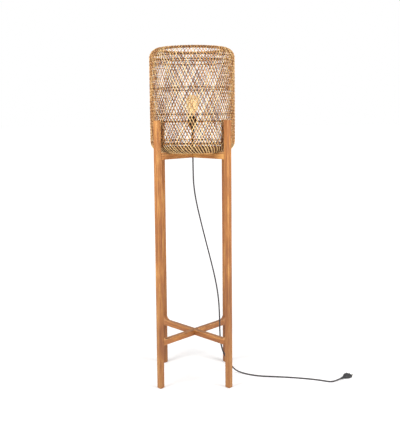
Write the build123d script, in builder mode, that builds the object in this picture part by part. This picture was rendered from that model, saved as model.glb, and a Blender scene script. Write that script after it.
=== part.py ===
from build123d import *
import math
import os

# Floor lamp with a teak stand, a woven rattan drum shade and an E27 lampholder.
# Millimetres. +Z up, +X to the right, +Y to the rear. The origin is on the floor, on the lamp's axis.

# ---- driving dimensions ---------------------------------------------------------------------
LAMP_HEIGHT = 1500.0
LEG_OFFSET = 150.7        # each leg's axis from the lamp's axis, along X and along Y
LEG_SIDE = 24.0
LEG_ROUND = 3.0
LEG_TOP_ROUND = 2.5
LEG_FOOT_CHAMFER = 1.0
LEG_TOP = 1181.0
PAD_HEIGHT = 2.0
PAD_RADIUS = 8.5

RAIL_WIDTH = 24.0
RAIL_HEIGHT = 25.0
LOW_RAIL_Z = 191.4        # underside of the lower cross
TOP_RAIL_Z = 1012.4       # underside of the upper cross
BLEND_LARGE = 26.0        # hollow between the lower rails' top and the legs
BLEND_SMALL = 7.0         # hollow under every rail end
TIP = 2.0                 # how much of a hollow's thin tip is cut off at the leg's face
POST_WIDTH = 10.0         # the post a rail's profile is drawn with at each end

DOWEL_RADIUS = 3.0
DOWEL_FIT = 0.05          # radial room of a dowel in its hole
DOWEL_IN_RAIL = 18.0
DOWEL_IN_LEG = 12.0
END_ROOM = 0.5            # a blind hole is this much deeper than what goes in it
LOOSE = 0.2               # radial room of a piece that passes freely

TUBE_RADIUS = 5.0
TUBE_BORE = 4.0
NUT_SIDE = 14.0           # across flats
NUT_HEIGHT = 3.0
WASHER_RADIUS = 7.8
WASHER_HEIGHT = 1.0
NUT_RECESS = 5.0          # under the upper cross, round the tube
PLATE_RADIUS = 25.0
PLATE_HEIGHT = 2.5
PLATE_SCREW_REACH = 18.0
SCREW_RADIUS = 1.75
SCREW_LENGTH = 12.0
LAP_SCREW_RADIUS = 2.0
LAP_SCREW_LENGTH = 20.0
LAP_HEAD_RADIUS = 4.0
LAP_RECESS = 3.0
LAP_HEAD_SUNK = 0.4       # the lap screw's head, inside its recess
SLOT_DEPTH = 0.8          # of a screw's slot or cross

HOLDER_RADIUS = 19.6
HOLDER_BOTTOM = 1142.0    # lower end of the cone
HOLDER_JOIN = 1163.0      # where cone and cylinder meet
HOLDER_TOP = 1199.0
HOLDER_WALL = 1.8
NECK_RADIUS = 7.5
NECK_HEIGHT = 7.0
GRIP_SCREW_RADIUS = 1.5
TERMINAL_REACH = 9.0      # each terminal screw from the axis
TERMINAL_RADIUS = 1.8
TERMINAL_HEAD_RADIUS = 2.6
TERMINAL_HEAD_HEIGHT = 1.6
TERMINAL_DEPTH = 8.0
SHELL_ROOM = 0.5          # radial room of the bulb's cap in the screw shell
SHELL_WALL = 0.6
SHELL_FLOOR_HOLE = 8.0

BULB_TIP = 1177.5
BULB_TOP = 1294.0
BULB_RADIUS = 29.6
CAP_RADIUS = 13.1
CAP_LENGTH = 24.0
THREAD_PITCH = 3.63       # the E27 thread's

SHADE_RADIUS = 191.0
SHADE_WALL = 5.0
SHADE_SHOULDER = 45.0     # upper rounding
SHADE_HEEL = 50.0         # lower rounding
SHADE_GAP = 0.3           # under the shade, above the rails
HOOP_RADIUS = 2.5
HOOP_HEIGHTS = (1063.5, 1085.0, 1175.0, 1207.0, 1321.0, 1440.0, 1460.0)
HOOP_GAP = 0.3            # between a hoop and the woven wall
RIM_RADIUS = 3.0

CORD_RADIUS = 3.25
PLUG_TIP = (722.0, -34.0)
PLUG_TURN = 40.0          # the plug's axis from +X, in degrees
PLUG_BODY = (36.0, 35.0, 14.0)
RELIEF_LENGTH = 25.0
PIN_RADIUS = 2.0
PIN_LENGTH = 19.0
PIN_SPACING = 19.0
FLOOR_GAP = 0.3           # under the plug
PLUG_ROUND = 4.5
PLUG_NARROW = 0.45        # the plug's width at the cord, as a share of its full width
PLUG_SHOULDER = 18.0      # from the cord's end of the plug to its full width

# ---- sizes that follow ----------------------------------------------------------------------
LEG_DISTANCE = LEG_OFFSET * math.sqrt(2)
RAIL_REACH = LEG_DISTANCE - LEG_SIDE / 2
TOP_RAIL_TOP = TOP_RAIL_Z + RAIL_HEIGHT
SHADE_BOTTOM = TOP_RAIL_TOP + SHADE_GAP
DOWEL_HEIGHTS = (6.5, 18.5)

os.makedirs("parts", exist_ok=True)


def save(builder, name):
    """Labels a finished piece and writes it."""
    builder.part.label = name
    export_step(builder.part, f"parts/{name}.step")


def upright_plane(turn, height):
    """A vertical plane through the lamp's axis: x runs outwards at the angle turn, y runs up."""
    along = Vector(1, 0, 0).rotate(Axis.Z, turn)
    side = along.cross(Vector(0, 0, 1))
    return Plane(origin=(0, 0, height), x_dir=along, z_dir=side)


def end_plane(turn, distance, height):
    """A vertical plane square to the direction turn, at a distance from the lamp's axis, y up."""
    along = Vector(1, 0, 0).rotate(Axis.Z, turn)
    side = Vector(0, 1, 0).rotate(Axis.Z, turn)
    return Plane(origin=along * distance + Vector(0, 0, height), x_dir=side, z_dir=along)


def ring(name, centre_radius, height, wire_radius):
    """A closed hoop of round cane or wire."""
    with BuildPart() as hoop:
        with BuildSketch(Plane.XZ):
            with Locations((centre_radius, height)):
                Circle(wire_radius)
        revolve(axis=Axis.Z)
    save(hoop, name)


def turned(name, outline):
    """A solid of revolution about the lamp's axis from a closed outline of (radius, height)."""
    with BuildPart() as body:
        with BuildSketch(Plane.XZ):
            with BuildLine():
                Polyline(*outline, close=True)
            make_face()
        revolve(axis=Axis.Z)
    save(body, name)


# ---- legs -----------------------------------------------------------------------------------
def make_leg(name, turn):
    """A square post standing on one corner of the plan, with blind dowel holes facing the axis."""
    foot = Plane(
        origin=Vector(LEG_DISTANCE, 0, PAD_HEIGHT).rotate(Axis.Z, turn),
        x_dir=Vector(1, 0, 0).rotate(Axis.Z, turn),
        z_dir=(0, 0, 1),
    )
    with BuildPart() as leg:
        with BuildSketch(foot):
            RectangleRounded(LEG_SIDE, LEG_SIDE, LEG_ROUND)
        extrude(amount=LEG_TOP - PAD_HEIGHT)
        fillet(leg.faces().sort_by(Axis.Z)[-1].edges(), LEG_TOP_ROUND)
        chamfer(leg.faces().sort_by(Axis.Z)[0].edges(), LEG_FOOT_CHAMFER)
        for rail_z in (LOW_RAIL_Z, TOP_RAIL_Z):
            for height in DOWEL_HEIGHTS:
                with BuildSketch(end_plane(turn, RAIL_REACH, rail_z + height)):
                    Circle(DOWEL_RADIUS)
                extrude(amount=DOWEL_IN_LEG + END_ROOM, mode=Mode.SUBTRACT)
    save(leg, name)


LEGS = {"leg_rear_right": 45, "leg_rear_left": 135, "leg_front_left": 225, "leg_front_right": 315}
for leg_name, leg_turn in LEGS.items():
    make_leg(leg_name, leg_turn)

with BuildPart() as foot_pads:
    with BuildSketch():
        with GridLocations(2 * LEG_OFFSET, 2 * LEG_OFFSET, 2, 2):
            Circle(PAD_RADIUS)
    extrude(amount=PAD_HEIGHT)
save(foot_pads, "foot_pads")


# ---- crossed rails --------------------------------------------------------------------------
def make_rail(name, turn, height, hollow_above, notch_above):
    """A rail from leg to leg, notched to half its height where it crosses the other one.

    Its profile is first drawn with a post at each end, so that the hollows between rail and leg and
    the rounded edges run on smoothly, and the posts are then cut off at the legs' faces.
    """
    half = RAIL_HEIGHT / 2
    ends = (turn, turn + 180)
    post_low = -2 * BLEND_SMALL
    post_high = RAIL_HEIGHT + (1.5 * BLEND_LARGE if hollow_above else 0)
    post_reach = RAIL_REACH + TIP + POST_WIDTH / 2
    with BuildPart() as rail:
        with BuildSketch(upright_plane(turn, height)) as profile:
            with Locations((0, half)):
                Rectangle(2 * post_reach, RAIL_HEIGHT)
            with Locations((0, (post_low + post_high) / 2)):
                with GridLocations(2 * post_reach, 0, 2, 1):
                    Rectangle(POST_WIDTH, post_high - post_low)
            fillet(profile.vertices().filter_by_position(Axis.Y, -0.1, 0.1), BLEND_SMALL)
            if hollow_above:
                corners = profile.vertices().filter_by_position(Axis.Y, half, RAIL_HEIGHT + 0.1)
                fillet(corners, BLEND_LARGE)
        extrude(amount=RAIL_WIDTH / 2, both=True)
        across = Axis((0, 0, height), upright_plane(turn, height).z_dir)
        fillet(rail.faces().filter_by(across).edges(), LEG_ROUND)
        for end in ends:
            split(bisect_by=end_plane(end, RAIL_REACH, height), keep=Keep.BOTTOM)
        with BuildSketch(upright_plane(turn, height)):
            with Locations((0, half * 1.5 if notch_above else half * 0.5)):
                Rectangle(RAIL_WIDTH, half)
        extrude(amount=RAIL_WIDTH, both=True, mode=Mode.SUBTRACT)
        for end in ends:
            for dowel in DOWEL_HEIGHTS:
                with BuildSketch(end_plane(end, RAIL_REACH, height + dowel)):
                    Circle(DOWEL_RADIUS)
                extrude(amount=-DOWEL_IN_RAIL - END_ROOM, mode=Mode.SUBTRACT)
        if height == TOP_RAIL_Z:
            with BuildSketch(Plane.XY.offset(height)):
                Circle(TUBE_RADIUS + LOOSE)
            extrude(amount=RAIL_HEIGHT, mode=Mode.SUBTRACT)
            for end in ends:
                spot = Vector(PLATE_SCREW_REACH, 0, height + RAIL_HEIGHT).rotate(Axis.Z, end)
                with BuildSketch(Plane(origin=spot)):
                    Circle(SCREW_RADIUS)
                extrude(amount=-SCREW_LENGTH - END_ROOM, mode=Mode.SUBTRACT)
        else:
            with BuildSketch(Plane.XY.offset(height)):
                Circle(LAP_SCREW_RADIUS)
            extrude(amount=LAP_SCREW_LENGTH + END_ROOM, mode=Mode.SUBTRACT)
        if notch_above:
            recess = WASHER_RADIUS + 2 * LOOSE if height == TOP_RAIL_Z else LAP_HEAD_RADIUS + LOOSE
            recess_depth = NUT_RECESS if height == TOP_RAIL_Z else LAP_RECESS
            with BuildSketch(Plane.XY.offset(height)):
                Circle(recess)
            extrude(amount=recess_depth, mode=Mode.SUBTRACT)
    save(rail, name)


make_rail("top_rail_a", 45, TOP_RAIL_Z, False, True)
make_rail("top_rail_b", 135, TOP_RAIL_Z, False, False)
make_rail("low_rail_a", 45, LOW_RAIL_Z, True, True)
make_rail("low_rail_b", 135, LOW_RAIL_Z, True, False)


def make_dowels(name, rail_z):
    """Two dowels, one above the other, at each of the four rail ends."""
    with BuildPart() as dowels:
        for turn in LEGS.values():
            for height in DOWEL_HEIGHTS:
                with BuildSketch(end_plane(turn, RAIL_REACH - DOWEL_IN_RAIL, rail_z + height)):
                    Circle(DOWEL_RADIUS - DOWEL_FIT)
                extrude(amount=DOWEL_IN_RAIL + DOWEL_IN_LEG)
    save(dowels, name)


make_dowels("top_dowels", TOP_RAIL_Z)
make_dowels("low_dowels", LOW_RAIL_Z)

with BuildPart() as lap_screw:
    with BuildSketch(Plane.XY.offset(LOW_RAIL_Z + LAP_RECESS)):
        Circle(LAP_SCREW_RADIUS - DOWEL_FIT)
    extrude(amount=LAP_SCREW_LENGTH - LAP_RECESS)
    with BuildSketch(Plane.XY.offset(LOW_RAIL_Z + LAP_HEAD_SUNK)):
        Circle(LAP_HEAD_RADIUS)
    extrude(amount=LAP_RECESS - LAP_HEAD_SUNK)
    with BuildSketch(Plane.XY.offset(LOW_RAIL_Z + LAP_HEAD_SUNK)):
        Rectangle(2 * LAP_HEAD_RADIUS - 2, 1.0)
        Rectangle(1.0, 2 * LAP_HEAD_RADIUS - 2)
    extrude(amount=1.5 * SLOT_DEPTH, mode=Mode.SUBTRACT)
save(lap_screw, "lap_screw")


# ---- stem: tube, foot plate, nuts -----------------------------------------------------------
TUBE_BOTTOM = TOP_RAIL_Z + 0.6
TUBE_TOP = HOLDER_BOTTOM + 10.0

with BuildPart() as stem_tube:
    with BuildSketch(Plane.XY.offset(TUBE_BOTTOM)):
        Circle(TUBE_RADIUS)
        Circle(TUBE_BORE, mode=Mode.SUBTRACT)
    extrude(amount=TUBE_TOP - TUBE_BOTTOM)
save(stem_tube, "stem_tube")

with BuildPart() as stem_plate:
    with BuildSketch(Plane.XY.offset(TOP_RAIL_TOP)):
        Circle(PLATE_RADIUS)
        Circle(TUBE_RADIUS + 0.1, mode=Mode.SUBTRACT)
    extrude(amount=PLATE_HEIGHT)
    chamfer(stem_plate.faces().sort_by(Axis.Z)[-1].outer_wire().edges(), 0.8)
    with Locations(Plane.XY.offset(TOP_RAIL_TOP + PLATE_HEIGHT)):
        with PolarLocations(PLATE_SCREW_REACH, 4, start_angle=45):
            CounterSinkHole(SCREW_RADIUS + 0.1, 2 * SCREW_RADIUS + 0.2, depth=PLATE_HEIGHT)
save(stem_plate, "stem_plate")

with BuildPart() as plate_screws:
    with BuildSketch(Plane.XY.offset(TOP_RAIL_TOP + PLATE_HEIGHT - SCREW_LENGTH)):
        with PolarLocations(PLATE_SCREW_REACH, 4, start_angle=45):
            Circle(SCREW_RADIUS - DOWEL_FIT)
    extrude(amount=SCREW_LENGTH)
    for corner in (45, 135, 225, 315):
        head = Vector(PLATE_SCREW_REACH, 0, TOP_RAIL_TOP + PLATE_HEIGHT).rotate(Axis.Z, corner)
        with BuildSketch(Plane(origin=head)):
            Circle(2 * SCREW_RADIUS)
        extrude(amount=-1.7, taper=44)
        with BuildSketch(Plane(origin=head)):
            Rectangle(4.0, 0.7)
            Rectangle(0.7, 4.0)
        extrude(amount=-SLOT_DEPTH, mode=Mode.SUBTRACT)
save(plate_screws, "plate_screws")


def make_nut(name, height):
    """A thin hexagon lock nut round the tube."""
    with BuildPart() as nut:
        with BuildSketch(Plane.XY.offset(height)):
            RegularPolygon(NUT_SIDE / 2, 6, major_radius=False)
            Circle(TUBE_RADIUS + DOWEL_FIT, mode=Mode.SUBTRACT)
        extrude(amount=NUT_HEIGHT)
    save(nut, name)


WASHER_Z = TOP_RAIL_Z + NUT_RECESS - WASHER_HEIGHT
make_nut("stem_nut_lower", WASHER_Z - NUT_HEIGHT)
make_nut("stem_nut_upper", TOP_RAIL_TOP + PLATE_HEIGHT)

with BuildPart() as stem_washer:
    with BuildSketch(Plane.XY.offset(WASHER_Z)):
        Circle(WASHER_RADIUS)
        Circle(TUBE_RADIUS + LOOSE, mode=Mode.SUBTRACT)
    extrude(amount=WASHER_HEIGHT)
save(stem_washer, "stem_washer")

BUSH_BOTTOM = TOP_RAIL_Z - 2.0
turned(
    "cord_bush",
    [
        (CORD_RADIUS + 0.05, BUSH_BOTTOM),
        (CORD_RADIUS + 0.75, BUSH_BOTTOM),
        (TUBE_RADIUS, TUBE_BOTTOM - 1.0),
        (TUBE_RADIUS, TUBE_BOTTOM),
        (TUBE_BORE - 0.02, TUBE_BOTTOM),
        (TUBE_BORE - 0.02, TUBE_BOTTOM + 14.0),
        (CORD_RADIUS + 0.05, TUBE_BOTTOM + 14.0),
    ],
)

# ---- lampholder -----------------------------------------------------------------------------
INSERT_BOTTOM = HOLDER_JOIN - 6.0
INSERT_TOP = HOLDER_JOIN + 9.0
NECK_BOTTOM = HOLDER_BOTTOM - NECK_HEIGHT

with BuildPart() as holder_cap:
    with BuildSketch(Plane.XZ):
        with BuildLine():
            outside = Polyline(
                (TUBE_RADIUS + DOWEL_FIT, NECK_BOTTOM),
                (NECK_RADIUS, NECK_BOTTOM),
                (NECK_RADIUS, HOLDER_BOTTOM),
            )
            shoulder = Spline(
                outside @ 1,
                (HOLDER_RADIUS - 4.5, HOLDER_BOTTOM + 9.5),
                (HOLDER_RADIUS, HOLDER_JOIN),
                tangents=((1, 0.75), (0, 1)),
            )
            Polyline(
                shoulder @ 1,
                (HOLDER_RADIUS - HOLDER_WALL, HOLDER_JOIN),
                (HOLDER_RADIUS - HOLDER_WALL, HOLDER_JOIN - 4.5),
                (HOLDER_RADIUS - 6.5, HOLDER_BOTTOM + 11.0),
                (NECK_RADIUS, HOLDER_BOTTOM + 6.0),
                (TUBE_RADIUS + DOWEL_FIT, HOLDER_BOTTOM + 6.0),
                outside @ 0,
            )
        make_face()
    revolve(axis=Axis.Z)
    with BuildSketch(end_plane(0, TUBE_RADIUS - 0.5, NECK_BOTTOM + NECK_HEIGHT / 2)):
        Circle(GRIP_SCREW_RADIUS + DOWEL_FIT)
    extrude(amount=NECK_RADIUS, mode=Mode.SUBTRACT)
save(holder_cap, "holder_cap")

with BuildPart() as grip_screw:
    with BuildSketch(end_plane(0, TUBE_RADIUS + 0.1, NECK_BOTTOM + NECK_HEIGHT / 2)):
        Circle(GRIP_SCREW_RADIUS)
    extrude(amount=5.5)
    with BuildSketch(end_plane(0, TUBE_RADIUS + 5.6, NECK_BOTTOM + NECK_HEIGHT / 2)):
        Rectangle(3.2, 0.6)
    extrude(amount=-SLOT_DEPTH, mode=Mode.SUBTRACT)
save(grip_screw, "grip_screw")

with BuildPart() as holder_skirt:
    with BuildSketch(Plane.XY.offset(HOLDER_JOIN)):
        Circle(HOLDER_RADIUS)
        Circle(HOLDER_RADIUS - HOLDER_WALL, mode=Mode.SUBTRACT)
    extrude(amount=HOLDER_TOP - HOLDER_JOIN)
    with BuildSketch(Plane.XY.offset(HOLDER_TOP - HOLDER_WALL)):
        Circle(HOLDER_RADIUS)
        Circle(CAP_RADIUS + 1.8, mode=Mode.SUBTRACT)
    extrude(amount=HOLDER_WALL)
    fillet(holder_skirt.faces().sort_by(Axis.Z)[-1].outer_wire().edges(), 1.4)
    with BuildSketch(Plane.XY.offset(HOLDER_JOIN + 1.5)):
        Circle(HOLDER_RADIUS)
        Circle(HOLDER_RADIUS - 0.5, mode=Mode.SUBTRACT)
    extrude(amount=1.2, mode=Mode.SUBTRACT)
save(holder_skirt, "holder_skirt")

with BuildPart() as holder_insert:
    with BuildSketch(Plane.XY.offset(INSERT_BOTTOM)):
        Circle(HOLDER_RADIUS - HOLDER_WALL - 0.3)
        with GridLocations(2 * TERMINAL_REACH, 0, 2, 1):
            Circle(TERMINAL_RADIUS + 2 * DOWEL_FIT, mode=Mode.SUBTRACT)
    extrude(amount=INSERT_TOP - INSERT_BOTTOM)
    chamfer(holder_insert.faces().sort_by(Axis.Z)[0].outer_wire().edges(), 1.2)
save(holder_insert, "holder_insert")

with BuildPart() as terminal_screws:
    with BuildSketch(Plane.XY.offset(INSERT_BOTTOM - TERMINAL_HEAD_HEIGHT)):
        with GridLocations(2 * TERMINAL_REACH, 0, 2, 1):
            Circle(TERMINAL_HEAD_RADIUS)
    extrude(amount=TERMINAL_HEAD_HEIGHT)
    with BuildSketch(Plane.XY.offset(INSERT_BOTTOM)):
        with GridLocations(2 * TERMINAL_REACH, 0, 2, 1):
            Circle(TERMINAL_RADIUS)
    extrude(amount=TERMINAL_DEPTH)
    with BuildSketch(Plane.XY.offset(INSERT_BOTTOM - TERMINAL_HEAD_HEIGHT)):
        with GridLocations(2 * TERMINAL_REACH, 0, 2, 1):
            Rectangle(0.8, 4.4)
    extrude(amount=SLOT_DEPTH, mode=Mode.SUBTRACT)
save(terminal_screws, "terminal_screws")

with BuildPart() as holder_shell:
    with BuildSketch(Plane.XY.offset(INSERT_TOP)):
        Circle(CAP_RADIUS + SHELL_ROOM + SHELL_WALL)
        Circle(CAP_RADIUS + SHELL_ROOM, mode=Mode.SUBTRACT)
    extrude(amount=HOLDER_TOP - HOLDER_WALL - INSERT_TOP - 1.0)
    with BuildSketch(Plane.XY.offset(INSERT_TOP)):
        Circle(CAP_RADIUS + SHELL_ROOM + SHELL_WALL)
        Circle(SHELL_FLOOR_HOLE, mode=Mode.SUBTRACT)
    extrude(amount=SHELL_WALL)
save(holder_shell, "holder_shell")

with BuildPart() as centre_contact:
    with BuildSketch(upright_plane(0, INSERT_TOP)):
        with BuildLine():
            Polyline(
                (-6.5, 0), (-3.0, 0), (2.0, 4.4), (5.0, 4.4),
                (5.0, 5.0), (1.8, 5.0), (-3.2, 0.6), (-6.5, 0.6),
                close=True,
            )
        make_face()
    extrude(amount=2.0, both=True)
save(centre_contact, "centre_contact")

with BuildPart() as lead_inner:
    with BuildSketch(Plane.XY.offset(BUSH_BOTTOM)):
        Circle(CORD_RADIUS)
    extrude(amount=INSERT_BOTTOM - 2.0 - BUSH_BOTTOM)
save(lead_inner, "lead_inner")

# ---- bulb -----------------------------------------------------------------------------------
CAP_BOTTOM = BULB_TIP + 4.0
CAP_TOP = CAP_BOTTOM + CAP_LENGTH
THREAD_TURNS = 5

with BuildPart() as bulb_cap:
    with BuildSketch(Plane.XZ):
        with BuildLine():
            crests = [(CAP_RADIUS - 0.9, CAP_BOTTOM)]
            for n in range(THREAD_TURNS):
                low = CAP_BOTTOM + 1.0 + n * THREAD_PITCH
                crests.append((CAP_RADIUS - 0.7, low))
                crests.append((CAP_RADIUS, low + THREAD_PITCH / 2))
            crests.append((CAP_RADIUS - 0.7, CAP_BOTTOM + 1.0 + THREAD_TURNS * THREAD_PITCH))
            crests.append((CAP_RADIUS - 0.2, CAP_TOP))
            Polyline(*crests, (CAP_RADIUS - 1.4, CAP_TOP), (CAP_RADIUS - 1.4, CAP_BOTTOM), close=True)
        make_face()
    revolve(axis=Axis.Z)
save(bulb_cap, "bulb_cap")

turned(
    "bulb_insulator",
    [(0, BULB_TIP + 1.2), (5.0, BULB_TIP + 1.2), (10.5, CAP_BOTTOM - 0.6), (11.6, CAP_BOTTOM + 0.05),
     (11.6, CAP_BOTTOM + 1.5), (0, CAP_BOTTOM + 1.5)],
)
turned(
    "bulb_tip",
    [(0, BULB_TIP), (2.6, BULB_TIP), (4.4, BULB_TIP + 0.5), (4.8, BULB_TIP + 1.2), (0, BULB_TIP + 1.2)],
)

GLASS_WALL = 0.9
GLASS_NECK_Z = CAP_TOP - 6.0
NECK = CAP_RADIUS - 1.6
DOME_Z = BULB_TOP - BULB_RADIUS
FLARE_END = math.radians(18)


def glass_line(skin):
    """The bulb's outline on its outer face, or skin inside it, from the neck to the top."""
    dome = BULB_RADIUS - skin
    with BuildLine() as outline:
        neck = Line((NECK - skin, GLASS_NECK_Z), (NECK - skin, CAP_TOP + 0.5))
        flare = Spline(
            neck @ 1,
            (20.6 - skin, CAP_TOP + 14.0),
            (dome * math.cos(FLARE_END), DOME_Z - dome * math.sin(FLARE_END)),
            tangents=((0.05, 1), (math.sin(FLARE_END), math.cos(FLARE_END))),
        )
        ThreePointArc(
            flare @ 1,
            (dome * math.cos(2 * FLARE_END), DOME_Z + dome * math.sin(2 * FLARE_END)),
            (0, DOME_Z + dome),
        )
    return outline


outer_glass = glass_line(0)
inner_glass = glass_line(GLASS_WALL)
with BuildPart() as bulb_glass:
    with BuildSketch(Plane.XZ):
        with BuildLine():
            add(outer_glass.line)
            add(inner_glass.line)
            Line((0, BULB_TOP), (0, BULB_TOP - GLASS_WALL))
            Line((NECK, GLASS_NECK_Z), (NECK - GLASS_WALL, GLASS_NECK_Z))
        make_face()
    revolve(axis=Axis.Z)
save(bulb_glass, "bulb_glass")

FILAMENT_RADIUS = 0.95
FILAMENT_REACH_LOW = 12.5
FILAMENT_REACH_HIGH = 5.5
STEM_TOP = CAP_TOP + 30.0
FILAMENT_LOW = CAP_TOP + 16.0
FILAMENT_HIGH = BULB_TOP - 24.0
turned(
    "bulb_stem",
    [(0, CAP_TOP - 4.0), (9.5, CAP_TOP - 4.0), (9.0, CAP_TOP - 2.0), (3.2, CAP_TOP + 8.0),
     (2.6, CAP_TOP + 24.0), (3.4, STEM_TOP), (0, STEM_TOP)],
)

with BuildPart() as bulb_filaments:
    for turn in (45, 135, 225, 315):
        low = Vector(FILAMENT_REACH_LOW, 0, FILAMENT_LOW).rotate(Axis.Z, turn)
        high = Vector(FILAMENT_REACH_HIGH, 0, FILAMENT_HIGH).rotate(Axis.Z, turn)
        with BuildSketch(Plane(origin=low, z_dir=high - low)):
            Circle(FILAMENT_RADIUS)
        extrude(amount=(high - low).length)
save(bulb_filaments, "bulb_filaments")

# ---- shade ----------------------------------------------------------------------------------
BASE_OPENING = SHADE_RADIUS - SHADE_HEEL
TOP_OPENING = SHADE_RADIUS - SHADE_SHOULDER


def shade_line(skin):
    """The shade's outline skin inside its outer face, from the base opening to the top opening."""
    heel = SHADE_HEEL - skin
    shoulder = SHADE_SHOULDER - skin
    side = SHADE_RADIUS - skin
    with BuildLine() as outline:
        low = RadiusArc((BASE_OPENING, SHADE_BOTTOM + skin), (side, SHADE_BOTTOM + SHADE_HEEL), -heel)
        wall = Line(low @ 1, (side, LAMP_HEIGHT - SHADE_SHOULDER))
        RadiusArc(wall @ 1, (TOP_OPENING, LAMP_HEIGHT - skin), -shoulder)
    return outline


outer_shade = shade_line(0)
inner_shade = shade_line(SHADE_WALL)
with BuildPart() as shade_weave:
    with BuildSketch(Plane.XZ):
        with BuildLine():
            add(outer_shade.line)
            add(inner_shade.line)
            Line((BASE_OPENING, SHADE_BOTTOM), (BASE_OPENING, SHADE_BOTTOM + SHADE_WALL))
            Line((TOP_OPENING, LAMP_HEIGHT), (TOP_OPENING, LAMP_HEIGHT - SHADE_WALL))
        make_face()
    revolve(axis=Axis.Z)
save(shade_weave, "shade_weave")

HOOP_INSET = SHADE_WALL + HOOP_RADIUS + HOOP_GAP
HEEL_TOP = SHADE_BOTTOM + SHADE_HEEL
SHOULDER_LOW = LAMP_HEIGHT - SHADE_SHOULDER


def hoop_reach(height):
    """The radius of a hoop that lies inside the wall at that height, in the roundings as well."""
    if height < HEEL_TOP:
        return BASE_OPENING + math.sqrt((SHADE_HEEL - HOOP_INSET) ** 2 - (HEEL_TOP - height) ** 2)
    if height > SHOULDER_LOW:
        return TOP_OPENING + math.sqrt((SHADE_SHOULDER - HOOP_INSET) ** 2 - (height - SHOULDER_LOW) ** 2)
    return SHADE_RADIUS - HOOP_INSET


for number, hoop_z in enumerate(HOOP_HEIGHTS, start=1):
    ring(f"shade_hoop_{number}", hoop_reach(hoop_z), hoop_z, HOOP_RADIUS)

TOP_RING_REACH = TOP_OPENING + RIM_RADIUS
TOP_RING_Z = LAMP_HEIGHT - SHADE_WALL - RIM_RADIUS - 2 * HOOP_GAP
ring("rim_binding", TOP_OPENING - RIM_RADIUS - HOOP_GAP, LAMP_HEIGHT - RIM_RADIUS, RIM_RADIUS)
ring("shade_top_ring", TOP_RING_REACH, TOP_RING_Z, RIM_RADIUS)
ring("shade_base_ring", BASE_OPENING - RIM_RADIUS - HOOP_GAP, SHADE_BOTTOM + RIM_RADIUS, RIM_RADIUS)

# ---- cord and plug --------------------------------------------------------------------------
PLUG_AXIS = Vector(1, 0, 0).rotate(Axis.Z, PLUG_TURN)
PLUG_SIDE = Vector(0, 1, 0).rotate(Axis.Z, PLUG_TURN)
PLUG_CENTRE_Z = FLOOR_GAP + PLUG_BODY[2] / 2
PIN_TIP = Vector(PLUG_TIP[0], PLUG_TIP[1], PLUG_CENTRE_Z)
BODY_FRONT = PIN_TIP - PLUG_AXIS * PIN_LENGTH
BODY_BACK = BODY_FRONT - PLUG_AXIS * PLUG_BODY[0]
CORD_END = BODY_BACK - PLUG_AXIS * RELIEF_LENGTH
LAST_RUN = 22.0
FLOOR_Z = CORD_RADIUS + 0.05

cord_route = [
    (0, 0, BUSH_BOTTOM),
    (0, 0, 960),
    (1.8, 0, 886),
    (13.2, 0.5, 808),
    (32.5, 1.5, 722),
    (54.5, 3, 630),
    (77.3, 4.5, 538),
    (98, 6, 448),
    (111.8, 7.5, 360),
    (116, 9, 276),
    (116.6, 10, 196),
    (120, 11, 142),
    (134, 12.5, 92),
    (160, 14, 48),
    (188, 16, 9),
    (234, -12, FLOOR_Z),
    (291, -38, FLOOR_Z),
    (360, -47, FLOOR_Z),
    (436, -57, FLOOR_Z),
    (512, -74, FLOOR_Z),
    (566, -91, FLOOR_Z),
    (612, -113, FLOOR_Z),
    tuple(CORD_END - PLUG_AXIS * LAST_RUN),
    tuple(CORD_END),
]

points = [Vector(*p) for p in cord_route]
cord_radii = []
for before, here, after in zip(points, points[1:], points[2:]):
    half_turn = math.radians((here - before).get_angle(after - here)) / 2
    shorter = min((here - before).length, (after - here).length)
    cord_radii.append(0.45 * shorter / math.tan(half_turn))

with BuildPart() as power_cord:
    with BuildLine() as cord_path:
        FilletPolyline(*cord_route, radius=cord_radii)
    with BuildSketch(Plane(origin=points[0], z_dir=points[1] - points[0])):
        Circle(CORD_RADIUS)
    sweep()
save(power_cord, "power_cord")

cord_length = sum(edge.length for edge in cord_path.edges())
print("cord radii", [round(r, 1) for r in cord_radii])
print("cord length", round(cord_length, 1))
print("cord volume over section times length",
      round(power_cord.part.volume / (math.pi * CORD_RADIUS**2 * cord_length), 4))

with BuildPart() as plug_relief:
    with BuildSketch(Plane(origin=CORD_END, z_dir=PLUG_AXIS)):
        Circle(CORD_RADIUS + 0.6)
    with BuildSketch(Plane(origin=BODY_BACK, z_dir=PLUG_AXIS)):
        Circle(CORD_RADIUS + 2.6)
    loft()
save(plug_relief, "plug_relief")

with BuildPart() as plug_body:
    with BuildSketch(Plane(origin=BODY_BACK, x_dir=PLUG_SIDE, z_dir=PLUG_AXIS)):
        RectangleRounded(PLUG_BODY[1] * PLUG_NARROW, PLUG_BODY[2], PLUG_ROUND)
    with BuildSketch(Plane(origin=BODY_BACK + PLUG_AXIS * PLUG_SHOULDER, x_dir=PLUG_SIDE, z_dir=PLUG_AXIS)):
        RectangleRounded(PLUG_BODY[1], PLUG_BODY[2], PLUG_ROUND)
    with BuildSketch(Plane(origin=BODY_FRONT, x_dir=PLUG_SIDE, z_dir=PLUG_AXIS)):
        RectangleRounded(PLUG_BODY[1], PLUG_BODY[2], PLUG_ROUND)
    loft(ruled=True)
save(plug_body, "plug_body")

with BuildPart() as plug_pins:
    for side in (-1, 1):
        root = BODY_FRONT + PLUG_SIDE * (side * PIN_SPACING / 2)
        with BuildSketch(Plane(origin=root, z_dir=PLUG_AXIS)):
            Circle(PIN_RADIUS)
        extrude(amount=PIN_LENGTH)
    pin_tips = plug_pins.faces().filter_by(GeomType.PLANE).group_by(Axis((0, 0, 0), PLUG_AXIS))[-1]
    fillet(pin_tips.edges(), 1.0)
save(plug_pins, "plug_pins")
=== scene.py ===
import math

import bpy
import numpy as np
from mathutils import Matrix, Vector


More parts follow.
